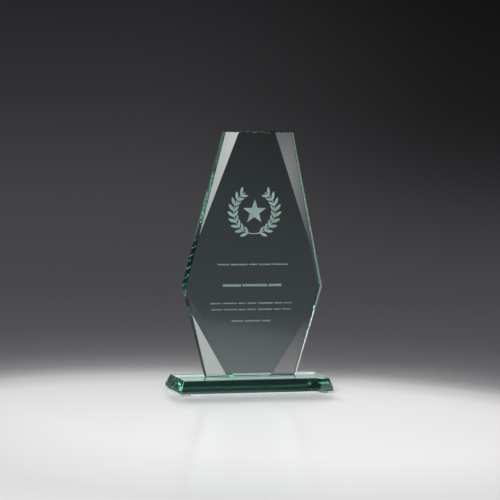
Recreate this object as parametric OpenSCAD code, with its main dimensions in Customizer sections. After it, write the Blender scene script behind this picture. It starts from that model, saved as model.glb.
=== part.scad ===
// Glass award: an upright faceted tablet of jade-tinted glass, bonded to a bevelled
// glass base that stands on four clear bumper feet.
//
// Millimetres. +X is the award's right-hand side as a reader sees it, -Y is the front and
// +Z is up. The origin is under the middle of the award, on the surface it stands on.

/* [Glass base] */
// Length of the base slab, left to right
base_l = 158; // [126:1:200]
// Depth of the base slab, front to back
base_d = 52; // [40:1:70]
// Height of the base slab, upright edge and bevel together
base_h = 12.7; // [9:0.1:18]
// Height of the upright edge below the bevel
base_edge_h = 3.5; // [2:0.1:6]
// How far the bevel runs in from the edge on every side
base_bevel_run = 3.6; // [2:0.1:7]

/* [Glass tablet] */
// Thickness of the tablet
tablet_t = 12; // [9:0.5:15]
// Height of the tablet
tablet_h = 241.3; // [200:0.1:300]
// Width across the flat top
top_w = 70.5; // [60:0.5:90]
// Width across the waist, the widest place
waist_w = 142.5; // [115:0.5:150]
// Width across the lower edge that stands on the base
heel_w = 93; // [76:0.5:112]
// Height of the waist above the lower edge
waist_h = 89; // [74:0.5:110]

/* [Facets] */
// How far in from the top corner the crease of an upper facet starts
upper_facet_w = 16.7; // [8:0.1:24]
// How far above the waist an upper facet ends on the side edge
upper_facet_stop = 26; // [10:0.5:40]
// How much an upper facet takes off the back of the top corner
upper_facet_depth = 2; // [1:0.1:3]
// How far in from the lower corner the crease of a rear lower facet starts
rear_facet_w = 23.4; // [12:0.1:30]
// How far below the waist a rear lower facet ends on the side edge
rear_facet_stop = 19; // [8:0.5:30]
// How much a rear lower facet takes off the back of the lower corner
rear_facet_depth = 3.4; // [1:0.1:4]
// How far in from the lower corner the crease of a front lower facet starts
front_facet_w = 27.8; // [12:0.1:32]
// How far below the waist a front lower facet ends on the side edge
front_facet_stop = 3; // [2:0.5:20]
// How much a front lower facet takes off the front of the lower corner
front_facet_depth = 1.4; // [0.6:0.1:2.5]

/* [Carving] */
// Depth of the sand-carved emblem and bars in the tablet's back
carve_depth = 0.3; // [0.2:0.05:0.6]
// Height of the emblem's middle above the waist
emblem_rise = 73.3; // [60:0.1:76]
// Radius of the circle that the wreath's two stems follow
wreath_r = 21.5; // [16:0.1:24]
// Length of an outer wreath leaf
leaf_l = 9; // [7:0.1:10]
// Width of an outer wreath leaf
leaf_w = 3; // [2.4:0.1:3.6]
// Number of leaf pairs on each stem
leaf_pairs = 9; // [6:1:10]
// Width of a wreath stem
stem_w = 0.8; // [0.5:0.1:1.2]
// Radius of the star's points
star_r = 12.5; // [8:0.1:13]
// Height of the carved bars' first row above the waist
rows_rise = 21.4; // [12:0.1:28]
// Gap between two bars in a row
bar_gap = 1.6; // [1:0.1:2.5]

/* [Glue and feet] */
// Thickness of the adhesive film between the tablet and the base
bond_t = 0.2; // [0.1:0.05:0.4]
// How far the adhesive film stays back from the tablet's outline
bond_inset = 0.4; // [0.2:0.1:1]
// Diameter of one bumper foot
foot_dia = 9; // [7:0.5:12]
// Height of one bumper foot
foot_h = 2; // [1.5:0.1:3]
// Width and height of the bevel around a foot's lower rim
foot_bevel = 0.6; // [0.3:0.1:1]
// How far the middle of a foot lies in from the two nearest sides of the base
foot_inset = 7.5; // [6.5:0.5:12]
// Thickness of the adhesive disc that holds a foot
pad_t = 0.3; // [0.2:0.05:0.5]
// Diameter of the adhesive disc
pad_dia = 8.4; // [6:0.1:9]

/* [Hidden] */
$fn = 96;

pad_z = foot_h;
base_z = pad_z + pad_t;
bond_z = base_z + base_h;
tablet_z = bond_z + bond_t;
foot_x = base_l / 2 - foot_inset;
foot_y = base_d / 2 - foot_inset;

// Half widths of the tablet at its three levels, and how fast its sides lean
top_x = top_w / 2;
waist_x = waist_w / 2;
heel_x = heel_w / 2;
back_y = tablet_t / 2;
upper_lean = (waist_x - top_x) / (tablet_h - waist_h);
lower_lean = (waist_x - heel_x) / waist_h;

// A cutting block larger than anything it cuts, and how far a cut starts outside the glass
block = 2 * (tablet_h + waist_w);
clear_of_glass = 1;

// Carved rows: how far below the first row, width of the row, height of a bar, bars in the row
carved_rows = [
    [0, 74, 1.3, 5],
    [20.6, 61, 2.4, 3],
    [38.4, 85, 1.2, 7],
    [44.6, 82, 1.2, 7],
    [56, 40, 1.3, 3]
];
row_variety = 0.4;
emblem_h = waist_h + emblem_rise;
rows_h = waist_h + rows_rise;
wreath_start = 16;
wreath_end = 152;
outer_leaf_turn = 38;
inner_leaf_turn = 42;
inner_leaf_share = 0.85;
star_points = 5;
star_waist = 0.4;

glass_colour = [0.30, 0.62, 0.50, 0.35];
clear_colour = [0.88, 0.94, 0.92, 0.5];

// Half width of the tablet at a height above its lower edge
function side_x(h) = h > waist_h
    ? top_x + (tablet_h - h) * upper_lean
    : heel_x + h * lower_lean;

// Relative length of bar i in a row, varied so that the row looks like words
function bar_share(i) = 1 + row_variety * sin(115 * i);
function share_before(i) = i == 0 ? 0 : share_before(i - 1) + bar_share(i - 1);

module each_side() {
    children();
    mirror([1, 0, 0])
        children();
}

// A flat shape drawn in X and height, cut into the tablet's back
module carve() {
    translate([0, back_y + clear_of_glass, 0])
        rotate([90, 0, 0])
            linear_extrude(carve_depth + clear_of_glass)
                children();
}

// Everything outside the plane of one right-hand facet in the back face. The crease runs
// from the corner level h_wide, in by w, to the side edge at h_stop; the plane takes depth
// off the corner itself.
module facet_cut(corner_x, h_wide, w, h_stop, depth) {
    crease_x = corner_x - w;
    lean = atan2(side_x(h_stop) - crease_x, h_stop - h_wide);
    reach = w * abs(cos(lean));
    tilt = atan(depth / reach);
    turn = h_stop > h_wide ? lean : lean - 180;
    translate([crease_x, back_y, h_wide])
        rotate([0, turn, 0])
            rotate([0, 0, -tilt])
                translate([-block / 2, 0, -block / 2])
                    cube(block);
}

module leaf(l, w) {
    arc_r = (l * l + w * w) / (4 * w);
    shift = arc_r - w / 2;
    translate([0, l / 2])
        intersection() {
            translate([shift, 0])
                circle(arc_r);
            translate([-shift, 0])
                circle(arc_r);
        }
}

// The leaves on the wreath's right-hand stem, in pairs from the bottom up. The inner leaf of a
// pair is smaller, so that it clears the next pair.
module wreath_branch() {
    step = (wreath_end - wreath_start) / leaf_pairs;
    for (i = [0:leaf_pairs - 1]) {
        rotate(-90 + wreath_start + i * step)
            translate([wreath_r, 0]) {
                rotate(-outer_leaf_turn)
                    leaf(leaf_l, leaf_w);
                rotate(inner_leaf_turn)
                    leaf(leaf_l * inner_leaf_share, leaf_w * inner_leaf_share);
            }
    }
}

module wreath_stems() {
    difference() {
        circle(wreath_r + stem_w / 2);
        circle(wreath_r - stem_w / 2);
        polygon([
            [0, 0],
            [2 * wreath_r * tan(180 - wreath_end), 2 * wreath_r],
            [-2 * wreath_r * tan(180 - wreath_end), 2 * wreath_r]
        ]);
    }
}

module star() {
    polygon([
        for (i = [0:2 * star_points - 1])
            let (r = i % 2 == 0 ? star_r : star_r * star_waist, a = 90 + 180 * i / star_points)
                [r * cos(a), r * sin(a)]
    ]);
}

module emblem() {
    translate([0, emblem_h]) {
        each_side()
            wreath_branch();
        wreath_stems();
        star();
    }
}

module bars(row) {
    count = row[3];
    unit = (row[1] - (count - 1) * bar_gap) / share_before(count);
    for (i = [0:count - 1])
        translate([share_before(i) * unit + i * bar_gap - row[1] / 2, rows_h - row[0] - row[2] / 2])
            square([bar_share(i) * unit, row[2]]);
}

module glass_tablet() {
    color(glass_colour)
        translate([0, 0, tablet_z])
            difference() {
                translate([0, back_y, 0])
                    rotate([90, 0, 0])
                        linear_extrude(tablet_t)
                            polygon([
                                [-heel_x, 0], [heel_x, 0], [waist_x, waist_h],
                                [top_x, tablet_h], [-top_x, tablet_h], [-waist_x, waist_h]
                            ]);
                each_side() {
                    facet_cut(top_x, tablet_h, upper_facet_w, waist_h + upper_facet_stop, upper_facet_depth);
                    facet_cut(heel_x, 0, rear_facet_w, waist_h - rear_facet_stop, rear_facet_depth);
                    mirror([0, 1, 0])
                        facet_cut(heel_x, 0, front_facet_w, waist_h - front_facet_stop, front_facet_depth);
                }
                carve()
                    emblem();
                for (row = carved_rows)
                    carve()
                        bars(row);
            }
}

// The slab's cross-section along one direction, with its upright edges and its bevels
module base_profile(half) {
    polygon([
        [-half, 0], [half, 0], [half, base_edge_h], [half - base_bevel_run, base_h],
        [base_bevel_run - half, base_h], [-half, base_edge_h]
    ]);
}

module glass_base() {
    color(glass_colour)
        translate([0, 0, base_z])
            intersection() {
                translate([0, base_d / 2, 0])
                    rotate([90, 0, 0])
                        linear_extrude(base_d)
                            base_profile(base_l / 2);
                translate([-base_l / 2, 0, 0])
                    rotate([90, 0, 90])
                        linear_extrude(base_l)
                            base_profile(base_d / 2);
            }
}

// The adhesive follows the tablet's lower face, whose corners the lower facets take off
module bond_film() {
    end_x = heel_x - bond_inset;
    rear_x = heel_x - rear_facet_w;
    front_x = heel_x - front_facet_w;
    edge_y = back_y - bond_inset;
    color(clear_colour)
        translate([0, 0, bond_z])
            linear_extrude(bond_t)
                polygon([
                    [-end_x, front_facet_depth - edge_y], [-front_x, -edge_y],
                    [front_x, -edge_y], [end_x, front_facet_depth - edge_y],
                    [end_x, edge_y - rear_facet_depth], [rear_x, edge_y],
                    [-rear_x, edge_y], [-end_x, edge_y - rear_facet_depth]
                ]);
}

module foot(x, y) {
    color(clear_colour)
        translate([x, y, 0])
            rotate_extrude()
                polygon([
                    [0, 0], [foot_dia / 2 - foot_bevel, 0], [foot_dia / 2, foot_bevel],
                    [foot_dia / 2, foot_h], [0, foot_h]
                ]);
}

module pad(x, y) {
    color(clear_colour)
        translate([x, y, pad_z])
            cylinder(d = pad_dia, h = pad_t);
}

glass_tablet();
glass_base();
bond_film();
foot(-foot_x, -foot_y);  // foot_front_left
foot(foot_x, -foot_y);  // foot_front_right
foot(-foot_x, foot_y);  // foot_rear_left
foot(foot_x, foot_y);  // foot_rear_right
pad(-foot_x, -foot_y);  // pad_front_left
pad(foot_x, -foot_y);  // pad_front_right
pad(-foot_x, foot_y);  // pad_rear_left
pad(foot_x, foot_y);  // pad_rear_right
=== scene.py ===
import math

import bmesh
import bpy
from mathutils import Matrix, Vector


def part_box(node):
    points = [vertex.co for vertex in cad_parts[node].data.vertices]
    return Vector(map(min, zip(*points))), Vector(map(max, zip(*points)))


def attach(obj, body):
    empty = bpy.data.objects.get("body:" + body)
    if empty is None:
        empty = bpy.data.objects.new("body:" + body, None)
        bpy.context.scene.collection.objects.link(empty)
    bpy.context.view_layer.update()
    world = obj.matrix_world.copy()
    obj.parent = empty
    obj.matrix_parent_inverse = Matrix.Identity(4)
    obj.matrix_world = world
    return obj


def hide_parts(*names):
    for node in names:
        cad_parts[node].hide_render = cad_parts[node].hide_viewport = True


MM = 0.001

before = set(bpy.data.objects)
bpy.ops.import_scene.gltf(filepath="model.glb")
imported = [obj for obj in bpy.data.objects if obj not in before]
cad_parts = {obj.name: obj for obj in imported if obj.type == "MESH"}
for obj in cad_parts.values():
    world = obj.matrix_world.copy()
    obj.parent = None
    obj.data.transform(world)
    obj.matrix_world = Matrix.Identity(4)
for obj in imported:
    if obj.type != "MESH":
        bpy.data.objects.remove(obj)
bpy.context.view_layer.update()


# ---------------------------------------------------------------- camera

CAMERA_PLACE = Vector((-0.82474, -2.34327, 0.41014))
CAMERA_AZIMUTH = math.radians(19.304)
CAMERA_DIP = math.radians(6.208)
CAMERA_ROLL = math.radians(1.86)
LENS_MM = 183.1
SENSOR_WIDTH_MM = 36


def add_camera():
    level_right = Vector((math.cos(CAMERA_AZIMUTH), -math.sin(CAMERA_AZIMUTH), 0))
    sight = Vector((
        math.sin(CAMERA_AZIMUTH) * math.cos(CAMERA_DIP),
        math.cos(CAMERA_AZIMUTH) * math.cos(CAMERA_DIP),
        -math.sin(CAMERA_DIP),
    ))
    level_up = level_right.cross(sight)
    right = level_right * math.cos(CAMERA_ROLL) + level_up * math.sin(CAMERA_ROLL)
    up = level_up * math.cos(CAMERA_ROLL) - level_right * math.sin(CAMERA_ROLL)
    turn = Matrix((right, up, -sight)).transposed()
    data = bpy.data.cameras.new("studio_camera")
    data.sensor_width = SENSOR_WIDTH_MM
    data.lens = LENS_MM
    data.clip_start = 0.05
    data.clip_end = 30
    camera = bpy.data.objects.new("studio_camera", data)
    camera.matrix_world = Matrix.Translation(CAMERA_PLACE) @ turn.to_4x4()
    bpy.context.scene.collection.objects.link(camera)
    bpy.context.scene.camera = camera


add_camera()


# ---------------------------------------------------------------- colours and nodes

def linear(red, green, blue):
    """An 8-bit display colour as linear light, with full alpha."""
    def one(value):
        value = value / 255
        return value / 12.92 if value <= 0.04045 else ((value + 0.055) / 1.055) ** 2.4
    return (one(red), one(green), one(blue), 1)


def node(tree, kind, **settings):
    made = tree.nodes.new(kind)
    for name, value in settings.items():
        setattr(made, name, value)
    return made


def math_node(tree, operation, first, second=None):
    made = node(tree, "ShaderNodeMath", operation=operation)
    for socket, value in zip(made.inputs, (first, second)):
        if value is None:
            continue
        if isinstance(value, (int, float)):
            socket.default_value = value
        else:
            tree.links.new(value, socket)
    return made.outputs[0]


def span(tree, value, low, high, to_low=0.0, to_high=1.0):
    """value taken smoothly from low..high to to_low..to_high."""
    made = node(tree, "ShaderNodeMapRange", interpolation_type="SMOOTHSTEP")
    tree.links.new(value, made.inputs["Value"])
    made.inputs["From Min"].default_value = low
    made.inputs["From Max"].default_value = high
    made.inputs["To Min"].default_value = to_low
    made.inputs["To Max"].default_value = to_high
    return made.outputs["Result"]


def scaled_colour(tree, colour, share):
    """A colour times a number or a node's value."""
    made = node(tree, "ShaderNodeVectorMath", operation="SCALE")
    tree.links.new(colour, made.inputs[0])
    if isinstance(share, (int, float)):
        made.inputs["Scale"].default_value = share
    else:
        tree.links.new(share, made.inputs["Scale"])
    return made.outputs[0]


def colour_ramp(tree, value, low, high, stops):
    """A colour by value, from (value, colour) stops between low and high."""
    ramp = node(tree, "ShaderNodeValToRGB")
    scaled = node(tree, "ShaderNodeMapRange")
    tree.links.new(value, scaled.inputs["Value"])
    scaled.inputs["From Min"].default_value = low
    scaled.inputs["From Max"].default_value = high
    tree.links.new(scaled.outputs["Result"], ramp.inputs["Fac"])
    elements = ramp.color_ramp.elements
    while len(elements) > 1:
        elements.remove(elements[-1])
    for i, (place, colour) in enumerate(stops):
        position = (place - low) / (high - low)
        element = elements[0] if i == 0 else elements.new(position)
        element.position = position
        element.color = colour
    return ramp.outputs["Color"]


# ---------------------------------------------------------------- studio

# Backdrop colour by the elevation of the line of sight, in degrees
BACKDROP_SPAN = (-8, 22)
BACKDROP = (
    (-8.00, linear(76, 76, 80)),
    (-7.30, linear(73, 73, 77)),
    (-5.10, linear(66, 66, 69)),
    (-2.80, linear(50, 50, 52)),
    (-0.60, linear(38, 38, 40)),
    (2.00, linear(34, 34, 36)),
    (8.00, linear(56, 56, 58)),
    (22.0, linear(64, 64, 66)),
)

# The backdrop is darker towards its right side. At this heading it has this share of its colour,
# and it gets all of it back between these two distances from the heading, in degrees. The dark
# part sets in between the two elevations.
DARK_HEADING = 25.5
DARK_SHARE = 0.36
DARK_FADE = (0.5, 9.0)
DARK_ABOVE = (-7.5, -3.0)

# How bright the backdrop is for every ray but the camera's own, so that what shows in the glass is
# darker than the backdrop beside it
BACKDROP_IN_GLASS = 0.76

# Cards and soft strips that the camera itself doesn't see. Each has the middle, half the width and
# the soft edge of its face, in degrees of heading and then of elevation, and its colour.
CARDS = (
    ("white_card", 28.2, 6.0, 2.8, -4.0, 9.0, 3.0, linear(222, 212, 214)),
    ("card_shade", 26.5, 2.6, 2.0, -4.0, 9.0, 3.0, linear(186, 180, 181)),
    ("grey_card", 12.9, 3.8, 0.8, -9.0, 4.2, 2.4, linear(142, 132, 136)),
    ("high_glow", 20.0, 14.0, 4.0, 13.0, 4.3, 0.6, linear(205, 205, 205)),
    ("left_strip", -25.0, 7.0, 2.0, 5.2, 2.6, 1.0, linear(142, 142, 142)),
    ("left_bounce", -20.0, 8.0, 3.0, -16.0, 3.5, 2.0, linear(128, 124, 124)),
    ("low_glow", -7.0, 11.0, 3.0, -33.0, 5.0, 3.0, linear(215, 215, 215)),
)


def card_mask(tree, heading, dip, middle, half, edge, rise, half_rise, edge_rise):
    """1 on the card's face and 0 away from it, with a soft edge."""
    across = math_node(tree, "ABSOLUTE", math_node(tree, "SUBTRACT", heading, middle))
    upward = math_node(tree, "ABSOLUTE", math_node(tree, "SUBTRACT", dip, rise))
    return math_node(
        tree, "MULTIPLY",
        span(tree, across, half - edge / 2, half + edge / 2, 1, 0),
        span(tree, upward, half_rise - edge_rise / 2, half_rise + edge_rise / 2, 1, 0),
    )


def set_world():
    world = bpy.data.worlds.new("studio")
    bpy.context.scene.world = world
    world.use_nodes = True
    tree = world.node_tree
    tree.nodes.clear()
    ray = node(tree, "ShaderNodeTexCoord").outputs["Generated"]
    parts = node(tree, "ShaderNodeSeparateXYZ")
    tree.links.new(ray, parts.inputs[0])
    x, y, z = parts.outputs
    dip = math_node(tree, "MULTIPLY", math_node(tree, "ARCSINE", z), 180 / math.pi)
    heading = math_node(tree, "MULTIPLY", math_node(tree, "ARCTAN2", x, y), 180 / math.pi)
    backdrop = colour_ramp(tree, dip, *BACKDROP_SPAN, BACKDROP)
    side = math_node(tree, "ABSOLUTE", math_node(tree, "SUBTRACT", heading, DARK_HEADING))
    fall = span(tree, side, *DARK_FADE, DARK_SHARE, 1)
    above = span(tree, dip, *DARK_ABOVE)
    fall = math_node(
        tree, "ADD",
        math_node(tree, "MULTIPLY", fall, above),
        math_node(tree, "SUBTRACT", 1, above),
    )
    shaded = scaled_colour(tree, backdrop, fall)

    around = scaled_colour(tree, shaded, BACKDROP_IN_GLASS)
    for name, middle, half, edge, rise, half_rise, edge_rise, colour in CARDS:
        lit = node(tree, "ShaderNodeMix", data_type="RGBA", name=name)
        tree.links.new(
            card_mask(tree, heading, dip, middle, half, edge, rise, half_rise, edge_rise),
            lit.inputs["Factor"],
        )
        tree.links.new(around, lit.inputs["A"])
        lit.inputs["B"].default_value = colour
        around = lit.outputs["Result"]

    seen = node(tree, "ShaderNodeBackground")
    tree.links.new(shaded, seen.inputs["Color"])
    unseen = node(tree, "ShaderNodeBackground")
    tree.links.new(around, unseen.inputs["Color"])
    path = node(tree, "ShaderNodeLightPath")
    both = node(tree, "ShaderNodeMixShader")
    tree.links.new(path.outputs["Is Camera Ray"], both.inputs["Fac"])
    tree.links.new(unseen.outputs[0], both.inputs[1])
    tree.links.new(seen.outputs[0], both.inputs[2])
    out = node(tree, "ShaderNodeOutputWorld")
    tree.links.new(both.outputs[0], out.inputs["Surface"])


def add_softbox(name, place, aim, width, height, watts):
    data = bpy.data.lights.new(name, "AREA")
    data.shape = "RECTANGLE"
    data.size = width
    data.size_y = height
    data.energy = watts
    light = bpy.data.objects.new(name, data)
    light.location = place
    light.rotation_euler = (Vector(aim) - Vector(place)).to_track_quat("-Z", "Y").to_euler()
    light.visible_camera = False
    bpy.context.scene.collection.objects.link(light)


# How much of the floor's paper shows, by the distance in metres from the middle of the pool of
# light, which lies in front of the award
POOL_MIDDLE = (-0.099, -0.283, 0)
POOL = (
    (0.30, 1.0),
    (0.345, 0.97),
    (0.400, 0.69),
    (0.425, 0.46),
    (0.459, 0.27),
    (0.510, 0.16),
    (0.559, 0.10),
    (0.723, 0.035),
    (1.070, 0.0),
)
POOL_SPAN = (0, 1.2)
# How much sooner the paper fades out, in metres, for every ray but the camera's own
POOL_EDGE_IN_GLASS = 0.12

# The paper's colour with painted light on it, lighter near the award and darker further off as the
# light falls away, by the distance in metres from a place beside the award
PAPER_FALLOFF_MIDDLE = (0.05, -0.06, 0)
PAPER_FALLOFF_SPAN = (0, 0.6)
PAPER_PAINTED_FALLOFF = (
    (0.10, (0.95, 0.93, 0.94, 1)),
    (0.30, (0.88, 0.86, 0.87, 1)),
    (0.50, (0.62, 0.61, 0.615, 1)),
)
FLOOR_RADIUS = 1.5

# The base's soft shadow is painted just in front of it, in metres: its middle, and how far from
# the middle it starts and ends to fade
SHADOW_MIDDLE_X = -0.008
SHADOW_MIDDLE_Y = -0.042
SHADOW_FADE_X = (0.064, 0.094)
SHADOW_FADE_Y = (0.006, 0.038)
SHADOW_DEPTH = 0.36

# The light that the base gathers is painted under it, in the same way
GLOW_FADE_X = (0.070, 0.080)
GLOW_FADE_Y = (0.018, 0.030)
GLOW_STRENGTH = 0.32


def patch(tree, x, y, middle, fade_x, fade_y, strength):
    """strength in the middle of a soft rectangle on the floor, and 0 away from it."""
    aside = math_node(tree, "ABSOLUTE", math_node(tree, "SUBTRACT", x, middle[0]))
    ahead = math_node(tree, "ABSOLUTE", math_node(tree, "SUBTRACT", y, middle[1]))
    return math_node(
        tree, "MULTIPLY",
        span(tree, ahead, *fade_y, strength, 0),
        span(tree, aside, *fade_x, 1, 0),
    )


def distance_from(tree, place, middle):
    made = node(tree, "ShaderNodeVectorMath", operation="DISTANCE")
    tree.links.new(place, made.inputs[0])
    made.inputs[1].default_value = middle
    return made.outputs["Value"]


def add_floor():
    grid = bmesh.new()
    bmesh.ops.create_circle(grid, cap_ends=True, segments=96, radius=FLOOR_RADIUS)
    mesh = bpy.data.meshes.new("studio_floor")
    grid.to_mesh(mesh)
    grid.free()
    floor = bpy.data.objects.new("studio_floor", mesh)
    bpy.context.scene.collection.objects.link(floor)
    paper = bpy.data.materials.new("sweep_paper")
    paper.use_nodes = True
    tree = paper.node_tree
    tree.nodes.clear()
    place = node(tree, "ShaderNodeTexCoord").outputs["Object"]
    reach = distance_from(tree, place, POOL_MIDDLE)
    path = node(tree, "ShaderNodeLightPath")
    unseen = math_node(tree, "SUBTRACT", 1, path.outputs["Is Camera Ray"])
    further = math_node(tree, "MULTIPLY", unseen, POOL_EDGE_IN_GLASS)
    reach = math_node(tree, "ADD", reach, further)
    shown = colour_ramp(tree, reach, *POOL_SPAN, [(r, (v, v, v, 1)) for r, v in POOL])
    # Painted light on the paper: its colour is lighter near the award and darker away from it
    paper_with_painted_falloff = colour_ramp(
        tree, distance_from(tree, place, PAPER_FALLOFF_MIDDLE), *PAPER_FALLOFF_SPAN, PAPER_PAINTED_FALLOFF
    )
    parts = node(tree, "ShaderNodeSeparateXYZ")
    tree.links.new(place, parts.inputs[0])
    x = parts.outputs["X"]
    y = parts.outputs["Y"]
    shadow = patch(
        tree, x, y, (SHADOW_MIDDLE_X, SHADOW_MIDDLE_Y), SHADOW_FADE_X, SHADOW_FADE_Y, SHADOW_DEPTH
    )
    shaded = scaled_colour(tree, paper_with_painted_falloff, math_node(tree, "SUBTRACT", 1, shadow))
    glow = patch(tree, x, y, (0, 0), GLOW_FADE_X, GLOW_FADE_Y, GLOW_STRENGTH)
    shader = node(tree, "ShaderNodeBsdfPrincipled")
    tree.links.new(shaded, shader.inputs["Base Color"])
    shader.inputs["Emission Color"].default_value = (1, 1, 1, 1)
    tree.links.new(glow, shader.inputs["Emission Strength"])
    shader.inputs["Roughness"].default_value = 0.22
    shader.inputs["IOR"].default_value = 1.45
    tree.links.new(shown, shader.inputs["Alpha"])
    out = node(tree, "ShaderNodeOutputMaterial")
    tree.links.new(shader.outputs[0], out.inputs["Surface"])
    mesh.materials.append(paper)


set_world()
add_softbox("overhead_softbox", (0.3, -0.2, 1.4), (0.15, -0.1, 0), 1.8, 1.4, 15)
add_softbox("front_softbox", (-1.0, -1.2, 1.0), (0, 0, 0.15), 1.0, 1.0, 34)
add_floor()


# ---------------------------------------------------------------- materials

GLASS_IOR = 1.52
# What a metre of this glass takes out of the light, as density times one less the colour
GLASS_DENSITY = 20.0
GLASS_TINT = (0.15, 0.875, 0.725, 1)


def handling_marks():
    """A shared group: a mask of faint smears and fine marks, and a height for the polish's ripple."""
    group = bpy.data.node_groups.new("handling_marks", "ShaderNodeTree")
    for name in ("Smears", "Ripple"):
        group.interface.new_socket(name, in_out="OUTPUT", socket_type="NodeSocketFloat")
    place = node(group, "ShaderNodeTexCoord").outputs["Object"]
    smear = node(group, "ShaderNodeTexNoise")
    smear.inputs["Scale"].default_value = 34
    smear.inputs["Detail"].default_value = 5
    smear.inputs["Distortion"].default_value = 0.6
    speck = node(group, "ShaderNodeTexNoise")
    speck.inputs["Scale"].default_value = 700
    speck.inputs["Detail"].default_value = 2
    ripple = node(group, "ShaderNodeTexNoise")
    ripple.inputs["Scale"].default_value = 55
    ripple.inputs["Detail"].default_value = 1
    for texture in (smear, speck, ripple):
        group.links.new(place, texture.inputs["Vector"])
    wiped = span(group, smear.outputs["Fac"], 0.48, 0.72)
    dotted = span(group, speck.outputs["Fac"], 0.62, 0.74, 0, 0.5)
    both = math_node(group, "MAXIMUM", wiped, dotted)
    out = node(group, "NodeGroupOutput")
    group.links.new(both, out.inputs["Smears"])
    group.links.new(ripple.outputs["Fac"], out.inputs["Ripple"])
    return group


MARKS = handling_marks()


def wear(tree, shader, clean, smeared, strength, distance):
    """Roughness from clean to smeared glass, and a ripple, both from the shared marks."""
    marks = node(tree, "ShaderNodeGroup", node_tree=MARKS)
    roughness = node(tree, "ShaderNodeMapRange")
    tree.links.new(marks.outputs["Smears"], roughness.inputs["Value"])
    roughness.inputs["To Min"].default_value = clean
    roughness.inputs["To Max"].default_value = smeared
    tree.links.new(roughness.outputs["Result"], shader.inputs["Roughness"])
    bump = node(tree, "ShaderNodeBump")
    bump.inputs["Strength"].default_value = strength
    bump.inputs["Distance"].default_value = distance
    tree.links.new(marks.outputs["Ripple"], bump.inputs["Height"])
    tree.links.new(bump.outputs[0], shader.inputs["Normal"])


def new_shader(name):
    material = bpy.data.materials.new(name)
    material.use_nodes = True
    tree = material.node_tree
    tree.nodes.clear()
    shader = node(tree, "ShaderNodeBsdfPrincipled")
    out = node(tree, "ShaderNodeOutputMaterial")
    tree.links.new(shader.outputs[0], out.inputs["Surface"])
    return material, tree, shader, out


def tint_through(tree, out):
    body = node(tree, "ShaderNodeVolumeAbsorption")
    body.inputs["Color"].default_value = GLASS_TINT
    body.inputs["Density"].default_value = GLASS_DENSITY
    tree.links.new(body.outputs[0], out.inputs["Volume"])


def jade_glass(name, clean, smeared, ripple):
    """Clear glass with a green body, its roughness from clean to smeared."""
    material, tree, shader, out = new_shader(name)
    shader.inputs["Base Color"].default_value = (1, 1, 1, 1)
    wear(tree, shader, clean, smeared, ripple, 0.02 * MM)
    shader.inputs["IOR"].default_value = GLASS_IOR
    shader.inputs["Transmission Weight"].default_value = 1
    tint_through(tree, out)
    return material


# The rows lie below these heights in metres, and the emblem above them
ROWS_BELOW = (0.138, 0.142)
# How much of its brightness the frost loses in the rows, where the noise of strokes is low and
# where it is high
STROKE_NOISE = (0.35, 0.6)
STROKE_LOSS = (0.62, 0.1)


def carved_glass():
    """Sand-carved glass: an even frost in the emblem, and a broken, fainter one in the rows."""
    material, tree, shader, out = new_shader("sand_carved_glass")
    place = node(tree, "ShaderNodeTexCoord").outputs["Object"]
    grit = node(tree, "ShaderNodeTexNoise")
    grit.inputs["Scale"].default_value = 2600
    grit.inputs["Detail"].default_value = 3
    tree.links.new(place, grit.inputs["Vector"])
    colour = node(tree, "ShaderNodeMix", data_type="RGBA")
    tree.links.new(grit.outputs["Fac"], colour.inputs["Factor"])
    colour.inputs["A"].default_value = (0.90, 0.80, 0.79, 1)
    colour.inputs["B"].default_value = (1.0, 0.89, 0.88, 1)
    parts = node(tree, "ShaderNodeSeparateXYZ")
    tree.links.new(place, parts.inputs[0])
    strokes = node(tree, "ShaderNodeTexNoise", noise_dimensions="1D")
    tree.links.new(parts.outputs["X"], strokes.inputs["W"])
    strokes.inputs["Scale"].default_value = 1100
    strokes.inputs["Detail"].default_value = 1
    in_rows = span(tree, parts.outputs["Z"], *ROWS_BELOW, 1, 0)
    broken = span(tree, strokes.outputs["Fac"], *STROKE_NOISE, *STROKE_LOSS)
    thin = math_node(tree, "MULTIPLY", in_rows, broken)
    frost = scaled_colour(tree, colour.outputs["Result"], math_node(tree, "SUBTRACT", 1, thin))
    tree.links.new(frost, shader.inputs["Base Color"])
    shader.inputs["Roughness"].default_value = 0.6
    shader.inputs["IOR"].default_value = GLASS_IOR
    shader.inputs["Transmission Weight"].default_value = 0.2
    bump = node(tree, "ShaderNodeBump")
    bump.inputs["Strength"].default_value = 0.4
    bump.inputs["Distance"].default_value = 0.1 * MM
    tree.links.new(grit.outputs["Fac"], bump.inputs["Height"])
    tree.links.new(bump.outputs[0], shader.inputs["Normal"])
    tint_through(tree, out)
    return material


def clear_bumper():
    material, tree, shader, out = new_shader("clear_bumper")
    shader.inputs["Base Color"].default_value = (1, 1, 1, 1)
    wear(tree, shader, 0.04, 0.12, 0.2, 0.05 * MM)
    shader.inputs["IOR"].default_value = 1.45
    shader.inputs["Transmission Weight"].default_value = 0.9
    return material


def clear_adhesive():
    material, tree, shader, out = new_shader("clear_adhesive")
    shader.inputs["Base Color"].default_value = (0.98, 1, 0.99, 1)
    wear(tree, shader, 0.02, 0.1, 0.3, 0.02 * MM)
    shader.inputs["IOR"].default_value = 1.1
    shader.inputs["Transmission Weight"].default_value = 1
    return material


POLISHED = jade_glass("polished_jade_glass", 0.0, 0.02, 0.05)
GROUND = jade_glass("ground_arris", 0.03, 0.12, 0.2)
CARVED = carved_glass()
BUMPER = clear_bumper()
ADHESIVE = clear_adhesive()


# ---------------------------------------------------------------- pieces

# Corners closer than this are one corner
MERGE = 0.0002 * MM
# What is kept free between two pieces that touch in the CAD model
CLEARANCE = 0.01 * MM


def copy_of(node_name):
    """The CAD node's shape as a bmesh whose faces share their corners."""
    shape = bmesh.new()
    shape.from_mesh(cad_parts[node_name].data)
    bmesh.ops.remove_doubles(shape, verts=shape.verts, dist=MERGE)
    return shape


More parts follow.
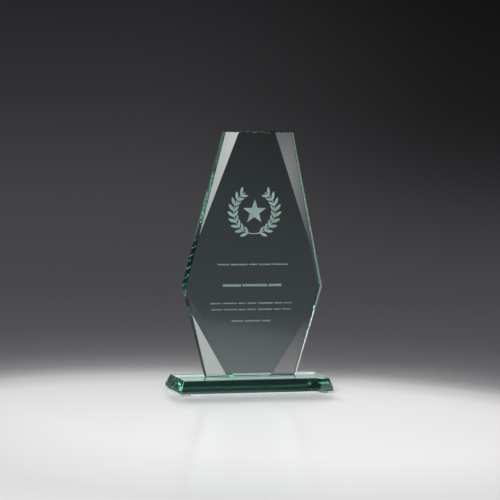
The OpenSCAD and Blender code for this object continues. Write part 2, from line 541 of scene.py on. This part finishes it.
def finish_piece(shape, name, node_name, materials):
    mesh = bpy.data.meshes.new(name)
    for face in shape.faces:
        face.smooth = False
    shape.to_mesh(mesh)
    shape.free()
    for material in materials:
        mesh.materials.append(material)
    piece = bpy.data.objects.new(name, mesh)
    bpy.context.scene.collection.objects.link(piece)
    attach(piece, "root")
    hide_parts(node_name)
    return piece


# Places in the tablet's list of materials, in which polished glass is first
CARVED_PLACE = 1
GROUND_PLACE = 2

# The ground flat's width, and how far an edge is folded before it gets one
ARRIS = 0.6 * MM
SHARP = math.radians(50)
# Two cuts are one when their directions differ by less than the first and their planes lie closer
# than the second
SAME_WAY = 0.001
SAME_PLANE = 0.02 * MM
# Corners this near to a cut's plane count as on it
CUT_SNAP = 0.00001 * MM
CARVE_DEPTH = 0.3 * MM
# A carved face's middle lies at least this far below the back face
CARVE_RIM_SLACK = 0.005 * MM
# It lies at most this far past the carving's depth
CARVE_REACH = 0.05 * MM
# The middle of a floor face is at most this much short of the carving's depth
CARVE_FLOOR_SLACK = 0.01 * MM
# A wall's normal has less of Y than the first of these, and a floor's has more than the second
WALL_NORMAL_Y = 0.01
FLOOR_NORMAL_Y = 0.9999


def is_carved(face, back_y):
    """Whether a face is a wall or the floor of the carving in the back."""
    depth = back_y - face.calc_center_median().y
    if depth < CARVE_RIM_SLACK or depth > CARVE_DEPTH + CARVE_REACH:
        return False
    if abs(face.normal.y) < WALL_NORMAL_Y:
        return True
    return face.normal.y > FLOOR_NORMAL_Y and depth > CARVE_DEPTH - CARVE_FLOOR_SLACK


def grind_arrises(shape, width, skip):
    """Cuts a narrow flat along every sharp outer edge, except at the faces in skip."""
    cuts = []
    for edge in shape.edges:
        if len(edge.link_faces) != 2 or any(f in skip for f in edge.link_faces):
            continue
        first, second = (f.normal for f in edge.link_faces)
        fold = first.angle(second)
        if fold < SHARP or not edge.is_convex:
            continue
        bisector = (first + second).normalized()
        depth = width * math.tan(fold / 2) / 2
        point = edge.verts[0].co - bisector * depth
        if not any(
            (bisector - n).length < SAME_WAY and abs((point - p).dot(n)) < SAME_PLANE
            for p, n in cuts
        ):
            cuts.append((point.copy(), bisector.copy()))
    for point, direction in cuts:
        cut = bmesh.ops.bisect_plane(
            shape,
            geom=shape.verts[:] + shape.edges[:] + shape.faces[:],
            dist=CUT_SNAP,
            plane_co=point,
            plane_no=direction,
            clear_outer=True,
        )
        rim = [g for g in cut["geom_cut"] if isinstance(g, bmesh.types.BMEdge)]
        made = bmesh.ops.contextual_create(shape, geom=rim)["faces"]
        for face in made:
            face.material_index = GROUND_PLACE
            face.normal_update()
            if face.normal.dot(direction) < 0:
                face.normal_flip()


def build_tablet():
    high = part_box("glass_tablet")[1]
    shape = copy_of("glass_tablet")
    shape.normal_update()
    carved = {f for f in shape.faces if is_carved(f, high.y)}
    for face in carved:
        face.material_index = CARVED_PLACE
    grind_arrises(shape, ARRIS, carved)
    finish_piece(shape, "award_tablet", "glass_tablet", (POLISHED, CARVED, GROUND))


# Faces that are folded by less than this are one face
FLAT = math.radians(0.5)
# The base's back leans in by this much more than its front
BACK_LEAN = math.radians(3)
BASE_ROUND = 0.5 * MM


def build_base():
    shape = copy_of("glass_base")
    bmesh.ops.dissolve_limit(
        shape, angle_limit=FLAT, verts=shape.verts, edges=shape.edges
    )
    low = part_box("glass_base")[0]
    for vert in shape.verts:
        if vert.co.y > 0:
            vert.co.y -= (vert.co.z - low.z) * math.tan(BACK_LEAN)
    for face in shape.faces:
        face.normal_update()
    edges = [e for e in shape.edges if e.calc_face_angle(0) > SHARP]
    bmesh.ops.bevel(
        shape, geom=edges, affect="EDGES", offset=BASE_ROUND, segments=2, profile=0.5, material=-1,
        clamp_overlap=True,
    )
    finish_piece(shape, "award_base", "glass_base", (POLISHED,))


def build_film():
    low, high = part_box("bond_film")
    shape = copy_of("bond_film")
    middle = (low + high) / 2
    for vert in shape.verts:
        vert.co.z += CLEARANCE if vert.co.z < middle.z else -CLEARANCE
    finish_piece(shape, "bond_line", "bond_film", (ADHESIVE,))


BUMPER_ROUND = 0.7 * MM


def build_foot(corner):
    low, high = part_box("foot_" + corner)
    middle = (low + high) / 2
    radius = (high.x - low.x) / 2
    shape = bmesh.new()
    bmesh.ops.create_circle(shape, cap_ends=True, segments=64, radius=radius)
    lower = shape.faces[:]
    raised = bmesh.ops.extrude_face_region(shape, geom=lower)
    top = [v for v in raised["geom"] if isinstance(v, bmesh.types.BMVert)]
    bmesh.ops.translate(shape, vec=(0, 0, high.z - low.z - CLEARANCE), verts=top)
    bmesh.ops.recalc_face_normals(shape, faces=shape.faces)
    rim = [e for e in shape.edges if all(v.co.z < MERGE for v in e.verts)]
    bmesh.ops.bevel(
        shape, geom=rim, affect="EDGES", offset=BUMPER_ROUND, segments=5, profile=0.5, material=-1
    )
    bmesh.ops.translate(shape, vec=(middle.x, middle.y, low.z), verts=shape.verts)
    piece = finish_piece(shape, "bumper_" + corner, "foot_" + corner, (BUMPER,))
    piece.data.shade_smooth()


def build_pad(corner):
    low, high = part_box("pad_" + corner)
    shape = copy_of("pad_" + corner)
    middle = (low + high) / 2
    for vert in shape.verts:
        if vert.co.z > middle.z:
            vert.co.z -= CLEARANCE
    finish_piece(shape, "sticky_disc_" + corner, "pad_" + corner, (ADHESIVE,))


build_tablet()
build_base()
build_film()
for corner in ("front_left", "front_right", "rear_left", "rear_right"):
    build_foot(corner)
    build_pad(corner)


# ---------------------------------------------------------------- render feel

scene = bpy.context.scene
scene.view_settings.view_transform = "Standard"
scene.cycles.max_bounces = 24
scene.cycles.transmission_bounces = 24
scene.cycles.glossy_bounces = 12
scene.cycles.transparent_max_bounces = 16
scene.cycles.sample_clamp_indirect = 0
